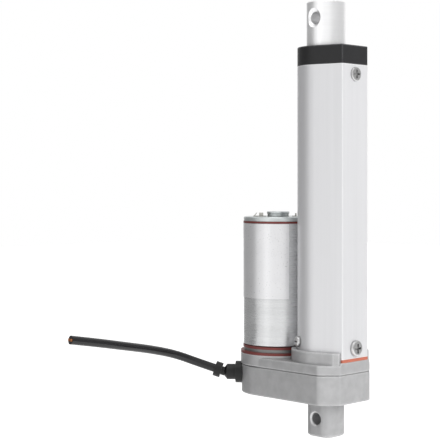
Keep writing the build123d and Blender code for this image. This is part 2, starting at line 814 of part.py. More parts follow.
# Lead screw with its bearings, spacers and clips
with BuildPart() as lead_screw:
    groove_r = bearing_bore_r - clip_groove_depth
    end_groove_r = thread_minor_r - clip_groove_depth
    add(
        turned(
            [
                (0, journal_bottom_z),
                (groove_r, journal_bottom_z),
                (bearing_bore_r, journal_bottom_z + clip_groove_depth),
                (bearing_bore_r, lower_clip_z),
                (groove_r, lower_clip_z),
                (groove_r, lower_clip_z + clip_thickness),
                (bearing_bore_r, lower_clip_z + clip_thickness),
                (bearing_bore_r, upper_bearing_top_z),
                (thread_major_r, upper_bearing_top_z),
                (thread_major_r, thread_start_z - thread_lead / 3),
                (thread_minor_r, thread_start_z),
                (thread_minor_r, upper_clip_z),
                (end_groove_r, upper_clip_z),
                (end_groove_r, upper_clip_z + clip_thickness),
                (thread_minor_r, upper_clip_z + clip_thickness),
                (thread_minor_r, screw_end_z),
                (0, screw_end_z),
            ]
        )
    )
    add(thread(thread_start_z, thread_length / thread_lead))
    with BuildSketch(Plane.YZ):
        with Locations((0, gear_pin_z)):
            Circle(gear_pin_r + close_fit)
    extrude(amount=output_hub_r, both=True, mode=Mode.SUBTRACT)

with BuildPart() as output_gear:
    add(gear(output_teeth, second_module, output_gear_z, output_gear_width))
    raise_posts(output_hub_r, output_gear_z, output_hub_top_z, [(0, 0)])
    raise_posts(bearing_bore_r + race_land, lower_bearing_top_z, output_gear_z, [(0, 0)])
    cut_holes(bearing_bore_r + close_fit, lower_bearing_top_z, output_hub_top_z, [(0, 0)])
    with BuildSketch(Plane.YZ):
        with Locations((0, gear_pin_z)):
            Circle(gear_pin_r + close_fit)
    extrude(amount=output_hub_r + 1, both=True, mode=Mode.SUBTRACT)

with BuildPart() as gear_pin:
    with BuildSketch(Plane.YZ):
        with Locations((0, gear_pin_z)):
            Circle(gear_pin_r)
    extrude(amount=output_hub_r - loose_fit, both=True)

screw_sleeve = ring(sleeve_r, bearing_bore_r + close_fit, output_hub_top_z, upper_bearing_z)
bearing_circlip = ring(
    bearing_outer_r + circlip_groove_depth - running_fit,
    bearing_outer_r - circlip_width,
    upper_bearing_top_z,
    circlip_top_z - close_fit,
)
end_bush_top_z = end_bush_z + end_bush_height
screw_end_bush = ring(rod_bore_r - end_bush_gap, thread_minor_r + close_fit, end_bush_z, end_bush_top_z)
bearing_bottoms = (floor_z, upper_bearing_z)


def race(wall_r, side):
    """Half profile pieces of one race pair: side is +1 for the outer race and -1 for the inner."""
    land_r = ball_track_r + side * race_land
    groove_r = ball_r + running_fit
    groove_half = sqrt(groove_r**2 - race_land**2)
    with BuildPart() as races:
        for bottom in bearing_bottoms:
            middle = bottom + bearing_width / 2
            with BuildSketch(Plane.XZ):
                with BuildLine():
                    Polyline(
                        (land_r, middle - groove_half),
                        (land_r, bottom),
                        (wall_r, bottom),
                        (wall_r, bottom + bearing_width),
                        (land_r, bottom + bearing_width),
                        (land_r, middle + groove_half),
                    )
                    ThreePointArc(
                        (land_r, middle + groove_half),
                        (ball_track_r + side * groove_r, middle),
                        (land_r, middle - groove_half),
                    )
                make_face()
            revolve(axis=Axis.Z)
    return races.part


bearing_outer_races = race(bearing_outer_r, 1)
bearing_inner_races = race(bearing_bore_r + close_fit, -1)

with BuildPart() as bearing_balls:
    for bottom in bearing_bottoms:
        with Locations((0, 0, bottom + bearing_width / 2)):
            with PolarLocations(ball_track_r, ball_count, start_angle=180 / ball_count):
                Sphere(ball_r)

with BuildPart() as bearing_cages:
    for bottom in bearing_bottoms:
        middle = bottom + bearing_width / 2
        cage_bottom = middle - cage_reach
        add(ring(ball_track_r + cage_half, ball_track_r - cage_half, cage_bottom, middle + cage_reach))
        for count in range(ball_count):
            ball_angle = (count + 0.5) * 360 / ball_count
            cut_start = ball_track_r - 2 * cage_half
            cut_sideways(ball_r + running_fit, ball_angle, middle, cut_start, cut_start + 4 * cage_half)

with BuildPart() as screw_clips:
    for inner_r, outer_r, groove_z in (
        (groove_r, bearing_bore_r + lower_clip_width, lower_clip_z),
        (end_groove_r, thread_minor_r + upper_clip_width, upper_clip_z),
    ):
        add(ring(outer_r, inner_r + close_fit, groove_z + close_fit, groove_z + clip_thickness - close_fit))

# Idler: a wide wheel driven by the motor, pressed on the hub of the pinion that drives the output gear
idler_pinion_z = floor_z + washer_thickness + loose_fit
idler_top_z = idler_wheel_z + idler_wheel_width
with BuildPart() as idler_pinion:
    add(
        gear(
            idler_pinion_teeth,
            second_module,
            idler_pinion_z,
            idler_wheel_z - idler_pinion_z,
            idler_x,
            180 / idler_pinion_teeth,
        )
    )
    raise_posts(idler_hub_r, idler_wheel_z, idler_top_z, [(idler_x, 0)])
    cut_holes(idler_axle_r + running_fit, idler_pinion_z, idler_top_z, [(idler_x, 0)])

with BuildPart() as idler_wheel:
    add(gear(idler_wheel_teeth, first_module, idler_wheel_z, idler_wheel_width, idler_x))
    cut_holes(idler_hub_r + close_fit, idler_wheel_z, idler_top_z, [(idler_x, 0)])

axle_bottom_z = floor_z - axle_socket + loose_fit
idler_axle = ring(idler_axle_r, 0, axle_bottom_z, ceiling_z + cover_axle_socket - loose_fit, idler_x)
with BuildPart() as idler_washers:
    for bottom in (floor_z, ceiling_z - washer_thickness):
        top = bottom + washer_thickness
        add(ring(idler_axle_r + washer_width, idler_axle_r + running_fit, bottom, top, idler_x))

# Motor rotor
with BuildPart() as motor_pinion:
    pinion_width = idler_top_z - motor_pinion_z + pinion_past_wheel
    half_tooth = 180 / motor_pinion_teeth
    add(gear(motor_pinion_teeth, first_module, motor_pinion_z, pinion_width, motor_x, half_tooth))
    cut_holes(shaft_r + close_fit, motor_pinion_z, motor_pinion_z + pinion_width, [(motor_x, 0)])

motor_shaft = ring(shaft_r, 0, shaft_bottom_z, rear_bush_top_z - end_gap, motor_x)

with BuildPart() as armature_core:
    raise_posts(armature_r, core_z, core_z + core_height, [(motor_x, 0)])
    with BuildSketch(Plane.XY.offset(core_z)):
        with Locations((motor_x, 0)):
            with PolarLocations(slot_track_r, slot_count):
                Circle(slot_r)
                Rectangle(armature_r, slot_mouth, align=(Align.MIN, Align.CENTER))
            Circle(shaft_r + close_fit)
    extrude(amount=core_height, mode=Mode.SUBTRACT)

with BuildPart() as armature_windings:
    with BuildSketch(Plane.XY.offset(core_z - coil_overhang)):
        with Locations((motor_x, 0)):
            with PolarLocations(slot_track_r, slot_count):
                Circle(slot_r - loose_fit)
    extrude(amount=core_height + 2 * coil_overhang)

commutator_top_z = commutator_z + commutator_height
commutator_sleeve = ring(
    commutator_sleeve_r,
    shaft_r + close_fit,
    commutator_z - commutator_sleeve_past,
    commutator_top_z + commutator_sleeve_past,
    motor_x,
)
with BuildPart() as commutator_bars:
    add(ring(commutator_r, commutator_sleeve_r + close_fit, commutator_z, commutator_top_z, motor_x))
    with BuildSketch(Plane.XY.offset(commutator_z)):
        with Locations((motor_x, 0)):
            with PolarLocations(0, commutator_bars_count, start_angle=180 / commutator_bars_count):
                Rectangle(2 * commutator_r, commutator_slit, align=(Align.MIN, Align.CENTER))
    extrude(amount=commutator_height, mode=Mode.SUBTRACT)

# Motor stator, its casing and its seals
with BuildPart() as motor_can:
    add(
        turned(
            [
                (motor_bush_r, front_bush_z),
                (front_boss_r, front_bush_z),
                (front_boss_r, can_bottom_z),
                (motor_r - can_edge_r, can_bottom_z),
                (motor_r, can_bottom_z + can_edge_r),
                (motor_r, can_top_z),
                (can_inner_r, can_top_z),
                (can_inner_r, can_floor_z),
                (motor_bush_r, can_floor_z),
            ],
            motor_x,
        )
    )
    cut_holes(motor_screw[0] + close_fit, can_bottom_z, can_floor_z, motor_screw_spots)
    cut_holes(lead_hole_r, can_bottom_z, can_floor_z, [lead_hole])

front_motor_bush = ring(motor_bush_r - close_fit, shaft_r + running_fit, front_bush_z, can_floor_z, motor_x)
rear_bush_z = end_cap_z + end_gap
rear_motor_bush = ring(rear_bush_r - close_fit, shaft_r + running_fit, rear_bush_z, rear_bush_top_z, motor_x)

with BuildPart() as motor_magnets:
    magnet_z = core_z - coil_overhang
    magnet_height = core_height + 2 * coil_overhang
    add(ring(magnet_outer_r, magnet_inner_r, magnet_z, magnet_z + magnet_height, motor_x))
    with BuildSketch(Plane.XY.offset(magnet_z)):
        with Locations((motor_x, 0)):
            Rectangle(2 * motor_r, magnet_inner_r)
    extrude(amount=magnet_height, mode=Mode.SUBTRACT)

# The end cap's boss has a bead round its top; a spigot centres the cap in the can
boss_bead = 0.3
boss_bead_height = 1.3
rim_step = 0.1
rim_chamfer = 0.4
spigot_depth = 2.8
spigot_wall = 2.0
cap_rim_r = motor_r - rim_step
cap_spigot_r = can_inner_r - running_fit
motor_end_cap = turned(
    [
        (rear_bush_r, end_cap_z),
        (rear_bush_r, rear_bush_top_z),
        (0, rear_bush_top_z),
        (0, motor_top_z),
        (motor_boss_r - boss_bead, motor_top_z),
        (motor_boss_r, motor_top_z - boss_bead),
        (motor_boss_r, motor_top_z - boss_bead_height + boss_bead),
        (motor_boss_r - boss_bead, motor_top_z - boss_bead_height),
        (motor_boss_r - boss_bead, end_cap_top_z),
        (cap_rim_r - rim_chamfer, end_cap_top_z),
        (cap_rim_r, end_cap_top_z - rim_chamfer),
        (cap_rim_r, end_cap_z),
        (cap_spigot_r, end_cap_z),
        (cap_spigot_r, end_cap_z - spigot_depth),
        (cap_spigot_r - spigot_wall, end_cap_z - spigot_depth),
        (cap_spigot_r - spigot_wall, end_cap_z),
    ],
    motor_x,
)
with BuildPart() as lower_motor_seal:
    add(ring(motor_seat_r, lower_seal_inner_r, seat_z, adapter_bottom_z, motor_x))
    extrude(tube_outline(end_gap, seat_z), amount=motor_seal_thickness, mode=Mode.SUBTRACT)
upper_motor_seal = ring(motor_r + seal_proud, seal_inner_r, adapter_top_z, can_bottom_z, motor_x)
top_motor_seal = ring(motor_r + rim_step, can_inner_r + close_fit, can_top_z, end_cap_z, motor_x)
adapter_inset = 0.2
with BuildPart() as motor_adapter:
    add(
        turned(
            [
                (front_boss_r + loose_fit, seat_z),
                (lower_seal_inner_r - close_fit, seat_z),
                (lower_seal_inner_r - close_fit, adapter_bottom_z),
                (motor_r - adapter_inset, adapter_bottom_z),
                (motor_r - adapter_inset, adapter_top_z),
                (seal_inner_r - close_fit, adapter_top_z),
                (seal_inner_r - close_fit, can_bottom_z),
                (front_boss_r + loose_fit, can_bottom_z),
            ],
            motor_x,
        )
    )
    cut_holes(motor_screw[0] + running_fit, seat_z, can_bottom_z, motor_screw_spots)
    cut_holes(lead_hole_r, seat_z, can_bottom_z, [lead_hole])

with BuildPart() as motor_screws:
    with Locations(*[Location((x, y, ceiling_z), (180, 0, 0)) for x, y in motor_screw_spots]):
        add(screw(motor_screw))

# The rating plate, left bare, wraps the upper part of the can and stops short of the tube
with BuildPart() as motor_label:
    with BuildSketch(Plane.XZ.rotated((0, 0, label_start))):
        with Locations((motor_r, label_bottom_z)):
            Rectangle(label_thickness, label_below_top - label_edge_gap, align=(Align.MIN, Align.MIN))
    revolve(axis=Axis.Z, revolution_arc=-label_sweep)
motor_label.part.position = (motor_x, 0, 0)

# Solder lugs of the two brushes: a folded one with a bent-up tongue, and a short one behind the boss
with BuildPart() as motor_terminals:
    with BuildSketch(lug_plane) as lug_profiles:
        with Locations((-lug_base_end, 0)):
            Rectangle(lug_base_end - lug_base_start, lug_sheet, align=(Align.MIN, Align.MIN))
        with Locations((-lug_post_x, lug_sheet)):
            Rectangle(lug_post_width, lug_height - lug_sheet, align=(Align.CENTER, Align.MIN))
        with BuildLine():
            Polyline(
                (-lug_base_end, 0),
                (-lug_base_end + lug_lean, lug_height),
                (-lug_base_end + lug_lean + lug_sheet, lug_height),
                (-lug_base_end + 2 * lug_sheet, 0),
                close=True,
            )
        make_face()
        with Locations((far_lug_start, 0)):
            Rectangle(far_lug_end - far_lug_start, lug_sheet, align=(Align.MIN, Align.MIN))
        with Locations((far_lug_end, 0)):
            Rectangle(2 * lug_sheet, far_lug_height, align=(Align.MAX, Align.MIN))
    extrude(amount=lug_width / 2, both=True)

# Brush gear under the armature
card_top_z = brush_card_z + brush_card_thickness
holder_start = commutator_r + brush_holder_gap
holder_top_z = brush_z + brush_size / 2 + brush_holder_wall
holder_inner_end = brush_holder_end - brush_holder_wall
holder_slot = brush_size + 2 * close_fit
holder_width = brush_size + 2 * brush_holder_wall
with BuildPart() as brush_card:
    add(ring(can_inner_r - running_fit, commutator_r + brush_holder_wall, brush_card_z, card_top_z, motor_x))
    for side in (-1, 1):
        outward_from_axis = (Align.CENTER, Align.MIN if side > 0 else Align.MAX)
        with BuildSketch(Plane.XY.offset(brush_card_z)):
            with Locations((motor_x, side * holder_start)):
                Rectangle(holder_width, brush_holder_end - holder_start, align=outward_from_axis)
        extrude(amount=holder_top_z - brush_card_z)
        with BuildSketch(Plane.XY.offset(brush_z - brush_size / 2 - close_fit)):
            with Locations((motor_x, side * commutator_r)):
                Rectangle(holder_slot, holder_inner_end - commutator_r, align=outward_from_axis)
        extrude(amount=holder_slot, mode=Mode.SUBTRACT)
    cut_holes(lead_hole_r, brush_card_z, card_top_z, [lead_hole])

with BuildPart() as motor_brushes:
    for side in (-1, 1):
        outward_from_axis = (Align.CENTER, Align.MIN if side > 0 else Align.MAX)
        with BuildSketch(Plane.XY.offset(brush_z - brush_size / 2)):
            with Locations((motor_x, 0)):
                with Locations((0, side * (commutator_r - brush_contact_depth))):
                    Rectangle(brush_size, brush_length, align=outward_from_axis)
                Circle(commutator_r + close_fit, mode=Mode.SUBTRACT)
        extrude(amount=brush_size)

with BuildPart() as brush_springs:
    spring_start = commutator_r - brush_contact_depth + brush_length + brush_wire_r + close_fit
    spring_end = holder_inner_end - brush_wire_r - close_fit
    spring_length = spring_end - spring_start
    for side in (-1, 1):
        with BuildLine() as coil:
            Helix(
                spring_length / brush_spring_turns,
                spring_length,
                brush_spring_r,
                center=(motor_x, side * spring_start, brush_z),
                direction=(0, side, 0),
            )
        with BuildSketch(Plane(origin=coil.line @ 0, z_dir=coil.line % 0)):
            Circle(brush_wire_r)
        sweep(path=coil.line, is_frenet=True)

# Supply leads: from the gland into the gearbox, then up into the motor
with BuildPart() as motor_leads:
    across = gland_dir.cross(Vector(0, 0, 1))
    for side in (-1, 1):
        aside = side * lead_spacing * across
        entry = Vector(motor_x, 0, gland_z) + gland_inner * gland_dir + aside
        corner = Vector(motor_x, 0, gland_z) + lead_corner * gland_dir + aside
        top = Vector(corner.X, corner.Y, brush_card_z - loose_fit)
        with BuildLine() as lead_path:
            FilletPolyline(entry, corner, top, radius=lead_bend_r)
        with BuildSketch(Plane(origin=entry, z_dir=-gland_dir)):
            Circle(lead_r)
        sweep(path=lead_path.line)

# Limit switches: a narrow board with one sealed switch near each end of the nut's travel
with BuildPart() as limit_switch_board:
    with BuildSketch(Plane.YZ.offset(board_x)):
        with Locations((0, board_bottom_z)):
            Rectangle(2 * board_half_width, board_top_z - board_bottom_z, align=(Align.CENTER, Align.MIN))
    extrude(amount=board_thickness)

with BuildPart() as limit_switches:
    for bottom, pocket_z in (
        (lower_switch_z, lower_switch_z + switch_height - button_depth),
        (upper_switch_z, upper_switch_z),
    ):
        with BuildSketch(Plane.XY.offset(bottom)):
            with Locations((switch_x, 0)):
                Rectangle(board_x - switch_x, 2 * switch_half_width, align=(Align.MIN, Align.CENTER))
        extrude(amount=switch_height)
        cut_holes(button_r + running_fit, pocket_z, pocket_z + button_depth, [(button_x, 0)])


def switch_button(seat, way):
    """A round plunger that stands out of its switch body; way is +1 for up and -1 for down."""
    inner_end = seat - way * (button_depth - button_stroke - loose_fit)
    outer_end = seat + way * button_proud
    with BuildPart() as button:
        with BuildSketch(Plane.XY.offset(inner_end)):
            with Locations((button_x, 0)):
                Circle(button_r)
        extrude(amount=outer_end - inner_end)
        fillet(button.edges().sort_by(Axis.Z)[-1 if way > 0 else 0], button_edge_r)
    return button.part


lower_switch_button = switch_button(lower_switch_z + switch_height, 1)
upper_switch_button = switch_button(upper_switch_z, -1)

# Cable gland: a rubber strain relief with a flange, a necked nose and a ring round the cable
gland_end = gland_plane.offset(gland_bend)
nose_plane = Plane(
    origin=gland_end.origin,
    x_dir=(0, 0, 1),
    z_dir=(
        gland_dir.X * cos(radians(gland_tilt)),
        gland_dir.Y * cos(radians(gland_tilt)),
        sin(radians(gland_tilt)),
    ),
)
with BuildPart() as cable_gland:
    for start, end, radius in (
        (gland_inner, gland_seat, gland_insert_r),
        (gland_seat, gland_flange_end, gland_flange_r),
        (gland_flange_end, gland_body_end, gland_body_r),
    ):
        with BuildSketch(gland_plane.offset(start)):
            Circle(radius)
        extrude(amount=end - start)
    with BuildSketch(gland_plane.offset(gland_body_end)):
        Circle(gland_body_r)
    with BuildSketch(gland_plane.offset(gland_bend)):
        Circle(gland_neck_r)
    loft()
    with BuildSketch(nose_plane.offset(-gland_joint_overlap)):
        Circle(gland_neck_r)
    extrude(amount=gland_ring_start + 2 * gland_joint_overlap)
    with BuildSketch(nose_plane.offset(gland_ring_start)):
        Circle(gland_ring_r)
    extrude(amount=gland_ring_end - gland_ring_start)
    for side in (-1, 1):
        with BuildSketch(gland_plane.offset(gland_inner)):
            with Locations((0, side * lead_spacing)):
                Circle(lead_r + close_fit)
        extrude(amount=gland_insert_reach, mode=Mode.SUBTRACT)

# Power cable, up to its cut end
cord_runs = [(Vector(*end) - Vector(*start)) for start, end in zip(cord_points, cord_points[1:])]
cord_radii = []
for before, after in zip(cord_runs, cord_runs[1:]):
    half_turn = radians(before.get_angle(after)) / 2
    cord_radii.append(cord_bend_share * min(before.length, after.length) / tan(half_turn))
print("cord radii", [round(radius, 1) for radius in cord_radii])

with BuildPart() as power_cord:
    with BuildLine() as cord_path:
        FilletPolyline(*cord_points, radius=cord_radii)
    with BuildSketch(Plane(origin=cord_points[0], z_dir=cord_runs[0])):
        Circle(cord_r)
    sweep(path=cord_path.line)
    cut_end = Plane(origin=cord_points[-1], x_dir=(0, 0, 1), z_dir=cord_runs[-1])
    with BuildSketch(cut_end):
        with GridLocations(0, 2 * lead_spacing, 1, 2):
            Circle(core_r)
    extrude(amount=-core_depth, mode=Mode.SUBTRACT)
print("cord length", round(cord_path.wire().length, 1))

with BuildPart() as cord_cores:
    with BuildSketch(cut_end.offset(core_proud)):
        with GridLocations(0, 2 * lead_spacing, 1, 2):
            Circle(core_r - close_fit)
    extrude(amount=-core_depth - core_proud)

# Every piece under the name of its node
pieces = {
    "rear_housing": rear_housing.part,
    "gearbox_cover": gearbox_cover.part,
    "case_screws": case_screws.part,
    "tube_gasket": tube_gasket.part,
    "outer_tube": outer_tube.part,
    "tube_face_screw": tube_face_screw.part,
    "tube_side_screws": tube_side_screws.part,
    "front_cap": front_cap.part,
    "cap_screw": cap_screw.part,
    "rod_bush": rod_bush,
    "rod_wiper": rod_wiper,
    "piston_rod": piston_rod.part,
    "drive_nut": drive_nut.part,
    "nut_pins": nut_pins.part,
    "lead_screw": lead_screw.part,
    "output_gear": output_gear.part,
    "gear_pin": gear_pin.part,
    "screw_sleeve": screw_sleeve,
    "screw_clips": screw_clips.part,
    "screw_end_bush": screw_end_bush,
    "bearing_inner_races": bearing_inner_races,
    "bearing_outer_races": bearing_outer_races,
    "bearing_balls": bearing_balls.part,
    "bearing_cages": bearing_cages.part,
    "bearing_circlip": bearing_circlip,
    "idler_pinion": idler_pinion.part,
    "idler_wheel": idler_wheel.part,
    "idler_axle": idler_axle,
    "idler_washers": idler_washers.part,
    "motor_pinion": motor_pinion.part,
    "motor_shaft": motor_shaft,
    "armature_core": armature_core.part,
    "armature_windings": armature_windings.part,
    "commutator_sleeve": commutator_sleeve,
    "commutator_bars": commutator_bars.part,
    "brush_card": brush_card.part,
    "motor_brushes": motor_brushes.part,
    "brush_springs": brush_springs.part,
    "motor_can": motor_can.part,
    "motor_magnets": motor_magnets.part,
    "front_motor_bush": front_motor_bush,
    "rear_motor_bush": rear_motor_bush,
    "motor_end_cap": motor_end_cap,
    "motor_terminals": motor_terminals.part,
    "lower_motor_seal": lower_motor_seal.part,
    "upper_motor_seal": upper_motor_seal,
    "top_motor_seal": top_motor_seal,
    "motor_adapter": motor_adapter.part,
    "motor_screws": motor_screws.part,
    "motor_label": motor_label.part,
    "motor_leads": motor_leads.part,
    "limit_switch_board": limit_switch_board.part,
    "limit_switches": limit_switches.part,
    "lower_switch_button": lower_switch_button,
    "upper_switch_button": upper_switch_button,
    "cable_gland": cable_gland.part,
    "power_cord": power_cord.part,
    "cord_cores": cord_cores.part,
}
os.makedirs("parts", exist_ok=True)
for name, piece in pieces.items():
    piece.label = name
    export_step(piece, f"parts/{name}.step")
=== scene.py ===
import json
from math import cos, radians, sin

import bpy
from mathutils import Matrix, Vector


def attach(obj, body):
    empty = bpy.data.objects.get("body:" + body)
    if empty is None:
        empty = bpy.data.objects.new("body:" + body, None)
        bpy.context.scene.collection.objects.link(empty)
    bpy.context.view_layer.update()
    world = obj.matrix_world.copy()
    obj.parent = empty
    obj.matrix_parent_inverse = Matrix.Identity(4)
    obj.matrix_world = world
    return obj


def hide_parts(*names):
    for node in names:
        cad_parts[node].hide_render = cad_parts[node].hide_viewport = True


# Looks of the electric linear actuator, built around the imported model.
# Lengths are in metres, in the part's own frame: +Z along the rod, the motor on the -X side.
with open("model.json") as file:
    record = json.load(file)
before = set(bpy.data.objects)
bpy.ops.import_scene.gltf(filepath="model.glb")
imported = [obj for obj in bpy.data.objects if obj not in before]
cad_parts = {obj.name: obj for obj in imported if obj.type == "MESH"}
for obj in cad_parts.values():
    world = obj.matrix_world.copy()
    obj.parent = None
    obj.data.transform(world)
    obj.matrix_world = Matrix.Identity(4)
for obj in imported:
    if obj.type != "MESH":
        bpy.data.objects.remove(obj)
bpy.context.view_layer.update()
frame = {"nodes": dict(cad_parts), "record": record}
nodes = frame["nodes"]
mm = 0.001

# Camera: level and far off, on the side where the motor, the tube and both mounting holes show
camera_azimuth = 45.2
camera_place = (0.4154, -0.4896, 0.1221)
camera_data = bpy.data.cameras.new("camera")
camera_data.lens = 101.47
camera_data.sensor_width = 36.0
camera_data.shift_y = -0.0907
camera_data.clip_start = 0.05
camera_data.clip_end = 20.0
camera = bpy.data.objects.new("camera", camera_data)
camera.location = camera_place
camera.rotation_euler = (radians(90), 0, radians(camera_azimuth))
bpy.context.scene.collection.objects.link(camera)
bpy.context.scene.camera = camera
bpy.context.scene.view_settings.view_transform = "Standard"

# Power cable: out of its gland, round a bend and slightly upwards to its blunt cut end.
# The bevel is of unit size, so each point's radius is the cable's own.
cable_r = 2.25 * mm
cable_points = [
    (-0.0595, -0.0219, 0.0211),
    (-0.0668, -0.0280, 0.0242),
    (-0.0729, -0.0387, 0.0290),
    (-0.0737, -0.0558, 0.0331),
    (-0.0719, -0.0766, 0.0370),
    (-0.0716, -0.0934, 0.0402),
    (-0.0738, -0.1084, 0.0427),
]
cable_curve = bpy.data.curves.new("cable", "CURVE")
cable_curve.dimensions = "3D"
cable_curve.bevel_depth = 1.0
cable_curve.bevel_resolution = 8
cable_curve.resolution_u = 24
cable_curve.use_fill_caps = True
cable_spline = cable_curve.splines.new("NURBS")
cable_spline.points.add(len(cable_points) - 1)
for point, place in zip(cable_spline.points, cable_points):
    point.co = (*place, 1.0)
    point.radius = cable_r
cable_spline.order_u = 3
cable_spline.use_endpoint_u = True
cable = bpy.data.objects.new("cable", cable_curve)
bpy.context.scene.collection.objects.link(cable)
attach(cable, "housing")
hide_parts("power_cord")

# Nearly all of a noise texture lies between these two values
noise_low = 0.3
noise_high = 0.7

# How finely the painted shade in recesses and the rounded edges are sampled
painted_shade_samples = 8
edge_samples = 6

# Match of the rounded and the true normal: at an edge, and on the face beside it
match_at_edge = 0.94
match_on_face = 0.998


class Shader:
    """A node material in the making: its tree, its surface shader and its texture coordinates."""

    def __init__(self, name, colour, metallic, roughness, specular=0.5):
        self.material = bpy.data.materials.new(name)
        self.material.use_nodes = True
        self.tree = self.material.node_tree
        self.tree.nodes.clear()
        self.output = self.add("ShaderNodeOutputMaterial")
        self.surface = self.add("ShaderNodeBsdfPrincipled")
        self.link(self.surface.outputs["BSDF"], self.output.inputs["Surface"])
        self.surface.inputs["Base Color"].default_value = (*colour, 1.0)
        self.surface.inputs["Metallic"].default_value = metallic
        self.surface.inputs["Roughness"].default_value = roughness
        self.surface.inputs["Specular IOR Level"].default_value = specular
        self.place = self.add("ShaderNodeTexCoord").outputs["Object"]
        self.normal = None

    def add(self, kind, **settings):
        node = self.tree.nodes.new(kind)
        for key, value in settings.items():
            setattr(node, key, value)
        return node

    def link(self, source, target):
        self.tree.links.new(source, target)

    def feeding(self, socket_name):
        """What feeds a socket of the surface so far."""
        return self.surface.inputs[socket_name].links[0].from_socket

    def set_colour(self, source):
        self.link(source, self.surface.inputs["Base Color"])

    def set_roughness(self, source):
        self.link(source, self.surface.inputs["Roughness"])

    def set_normal(self, source):
        self.normal = source
        self.link(source, self.surface.inputs["Normal"])

    def noise(self, size, stretch, detail, roughness=0.5):
        """Noise whose features are about size across; stretch lengthens them along an axis."""
        mapping = self.add("ShaderNodeMapping")
        mapping.inputs["Scale"].default_value = [1 / (size * s) for s in stretch]
        self.link(self.place, mapping.inputs["Vector"])
        noise = self.add("ShaderNodeTexNoise")
        noise.inputs["Scale"].default_value = 1.0
        noise.inputs["Detail"].default_value = detail
        noise.inputs["Roughness"].default_value = roughness
        self.link(mapping.outputs["Vector"], noise.inputs["Vector"])
        return noise.outputs["Fac"]

    def spread(self, source, low, high, start=noise_low, end=noise_high):
        """Maps what lies between start and end to the values between low and high."""
        ramp = self.add("ShaderNodeMapRange")
        ramp.inputs["From Min"].default_value = start
        ramp.inputs["From Max"].default_value = end
        ramp.inputs["To Min"].default_value = low
        ramp.inputs["To Max"].default_value = high
        self.link(source, ramp.inputs["Value"])
        return ramp.outputs["Result"]

    def colours(self, source, first, second):
        """Blends two colours by a texture."""
        mix = self.add("ShaderNodeMix", data_type="RGBA")
        mix.inputs["A"].default_value = (*first, 1.0)
        mix.inputs["B"].default_value = (*second, 1.0)
        self.link(source, mix.inputs["Factor"])
        return mix.outputs["Result"]

    def colour_where(self, mask, source, colour):
        """Keeps a colour texture, but one plain colour takes its place where a mask is 1."""
        mix = self.add("ShaderNodeMix", data_type="RGBA")
        self.link(mask, mix.inputs["Factor"])
        self.link(source, mix.inputs["A"])
        mix.inputs["B"].default_value = (*colour, 1.0)
        return mix.outputs["Result"]

    def value_where(self, mask, source, value):
        """Keeps a texture's value, but one plain value takes its place where a mask is 1."""
        mix = self.add("ShaderNodeMix")
        self.link(mask, mix.inputs["Factor"])
        self.link(source, mix.inputs["A"])
        mix.inputs["B"].default_value = value
        return mix.outputs["Result"]

    def ring_mask(self, axis_place, inner, outer, soft):
        """A mask of 1 between two distances from an axis along Y, at a place in the frame."""
        without_y = (1, 0, 1)
        away = self.add("ShaderNodeVectorMath", operation="SUBTRACT")
        away.inputs[1].default_value = axis_place
        self.link(self.place, away.inputs[0])
        flat = self.add("ShaderNodeVectorMath", operation="MULTIPLY")
        flat.inputs[1].default_value = without_y
        self.link(away.outputs[0], flat.inputs[0])
        reach = self.add("ShaderNodeVectorMath", operation="LENGTH")
        self.link(flat.outputs[0], reach.inputs[0])
        past_inner = self.spread(reach.outputs["Value"], 0.0, 1.0, inner, inner + soft)
        before_outer = self.spread(reach.outputs["Value"], 1.0, 0.0, outer, outer + soft)
        both = self.add("ShaderNodeMath", operation="MULTIPLY")
        self.link(past_inner, both.inputs[0])
        self.link(before_outer, both.inputs[1])
        return both.outputs[0]

    def paint_shade_in_recesses(self, reach):
        """Paints shade into recesses: multiplies the colour by how open each spot is, as far as
        reach around it.
        """
        painted_recess_shade = self.add("ShaderNodeAmbientOcclusion", samples=painted_shade_samples)
        painted_recess_shade.inputs["Distance"].default_value = reach
        self.link(self.feeding("Base Color"), painted_recess_shade.inputs["Color"])
        self.set_colour(painted_recess_shade.outputs["Color"])

    def round_edges(self, radius):
        """Lets light catch the edges as if they were rounded to a radius."""
        edge = self.add("ShaderNodeBevel", samples=edge_samples)
        edge.inputs["Radius"].default_value = radius
        self.set_normal(edge.outputs["Normal"])

    def edge_mask(self):
        """A mask of 1 along the rounded edges and 0 on the faces between them."""
        true_normal = self.add("ShaderNodeNewGeometry").outputs["Normal"]
        match = self.add("ShaderNodeVectorMath", operation="DOT_PRODUCT")
        self.link(self.normal, match.inputs[0])
        self.link(true_normal, match.inputs[1])
        return self.spread(match.outputs["Value"], 1.0, 0.0, match_at_edge, match_on_face)

    def bump(self, source, depth):
        """Adds a relief of the given depth; later calls add to earlier ones."""
        bump = self.add("ShaderNodeBump")
        bump.inputs["Strength"].default_value = 1.0
        bump.inputs["Distance"].default_value = depth
        self.link(source, bump.inputs["Height"])
        if self.normal is not None:
            self.link(self.normal, bump.inputs["Normal"])
        self.set_normal(bump.outputs["Normal"])


def shade(colour, factor):
    """A colour made lighter or darker."""
    return tuple(min(1.0, part * factor) for part in colour)


# The grain is fine and sharp; the clouds of slightly changed colour are larger and softer
grain_detail = 4.0
grain_roughness = 0.6
cloud_detail = 2.0
cloud_to_grain = 12


